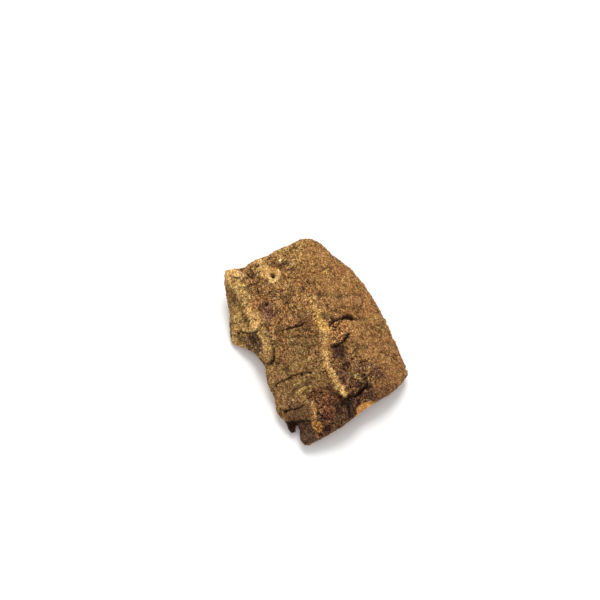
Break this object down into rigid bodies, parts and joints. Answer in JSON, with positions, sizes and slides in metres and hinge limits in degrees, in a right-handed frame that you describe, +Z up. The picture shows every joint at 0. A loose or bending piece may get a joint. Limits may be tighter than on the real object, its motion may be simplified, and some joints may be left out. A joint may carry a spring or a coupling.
{
  "type": "cork bark slab",
  "caption": "Arched slab of rough natural cork bark with ridges, furrows and a shed patch, lying hollow side down.",
  "frame": {"origin": "centre of the bounding box across X and Y, at the bottom, on the surface the slab rests on", "axes": "+Y along the grain, the slab's longest extent; +X across the grain; +Z up, out of the weathered outer face"},
  "size_m": [0.1784, 0.2396, 0.0439],
  "materials": {
    "cork_bark": "rough, dry, matt bark"
  },
  "bodies": {
    "root": {"cork_bark_slab": "cork_bark"}
  },
  "joints": []
}
